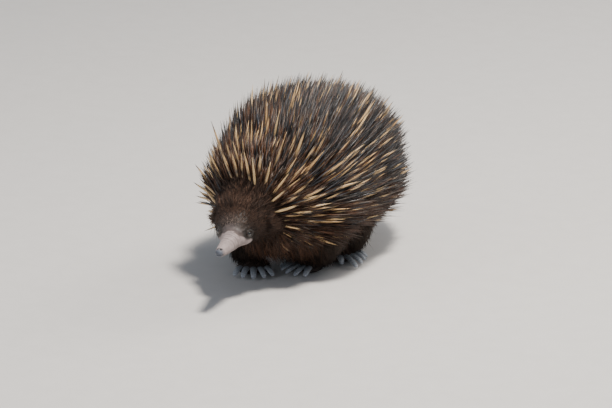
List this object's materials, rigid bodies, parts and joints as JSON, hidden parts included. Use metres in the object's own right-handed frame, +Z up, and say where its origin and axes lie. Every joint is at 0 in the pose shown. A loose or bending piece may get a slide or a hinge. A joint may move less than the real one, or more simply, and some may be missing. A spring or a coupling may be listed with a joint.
{
  "type": "short-beaked echidna, life-size still model",
  "caption": "Life-size still model of a short-beaked echidna in mid walk: low spiny body, furred face, narrow beak, short legs with broad claws.",
  "frame": {"origin": "middle of the footprint of the whole animal, on the floor", "axes": "+Z up; the animal faces -Y and its left side is +X"},
  "size_m": [0.2219, 0.4078, 0.221],
  "materials": {
    "coat": "cream and dark brown spines over coarse dark fur",
    "face_fur": "short coarse reddish brown fur",
    "beak_skin": "bare pinkish grey skin, darker at the tip",
    "eye": "wet black",
    "limb_fur": "dark brown fur",
    "claw_horn": "worn bluish grey horn"
  },
  "bodies": {
    "root": {"torso": "coat", "neck": "face_fur", "head": "face_fur", "beak": "beak_skin", "eye_left": "eye", "eye_right": "eye", "ear_left": "face_fur", "ear_right": "face_fur", "tail": "coat", "foreleg_left": "limb_fur", "foreleg_right": "limb_fur", "hindleg_left": "limb_fur", "hindleg_right": "limb_fur", "forefoot_left": "limb_fur", "forefoot_right": "limb_fur", "hindfoot_left": "limb_fur", "hindfoot_right": "limb_fur", "forefoot_left_claw_1": "claw_horn", "forefoot_left_claw_2": "claw_horn", "forefoot_left_claw_3": "claw_horn", "forefoot_left_claw_4": "claw_horn", "forefoot_left_claw_5": "claw_horn", "forefoot_right_claw_1": "claw_horn", "forefoot_right_claw_2": "claw_horn", "forefoot_right_claw_3": "claw_horn", "forefoot_right_claw_4": "claw_horn", "forefoot_right_claw_5": "claw_horn", "hindfoot_left_claw_1": "claw_horn", "hindfoot_left_claw_2": "claw_horn", "hindfoot_left_claw_3": "claw_horn", "hindfoot_left_claw_4": "claw_horn", "hindfoot_left_claw_5": "claw_horn", "hindfoot_right_claw_1": "claw_horn", "hindfoot_right_claw_2": "claw_horn", "hindfoot_right_claw_3": "claw_horn", "hindfoot_right_claw_4": "claw_horn", "hindfoot_right_claw_5": "claw_horn"}
  },
  "joints": []
}
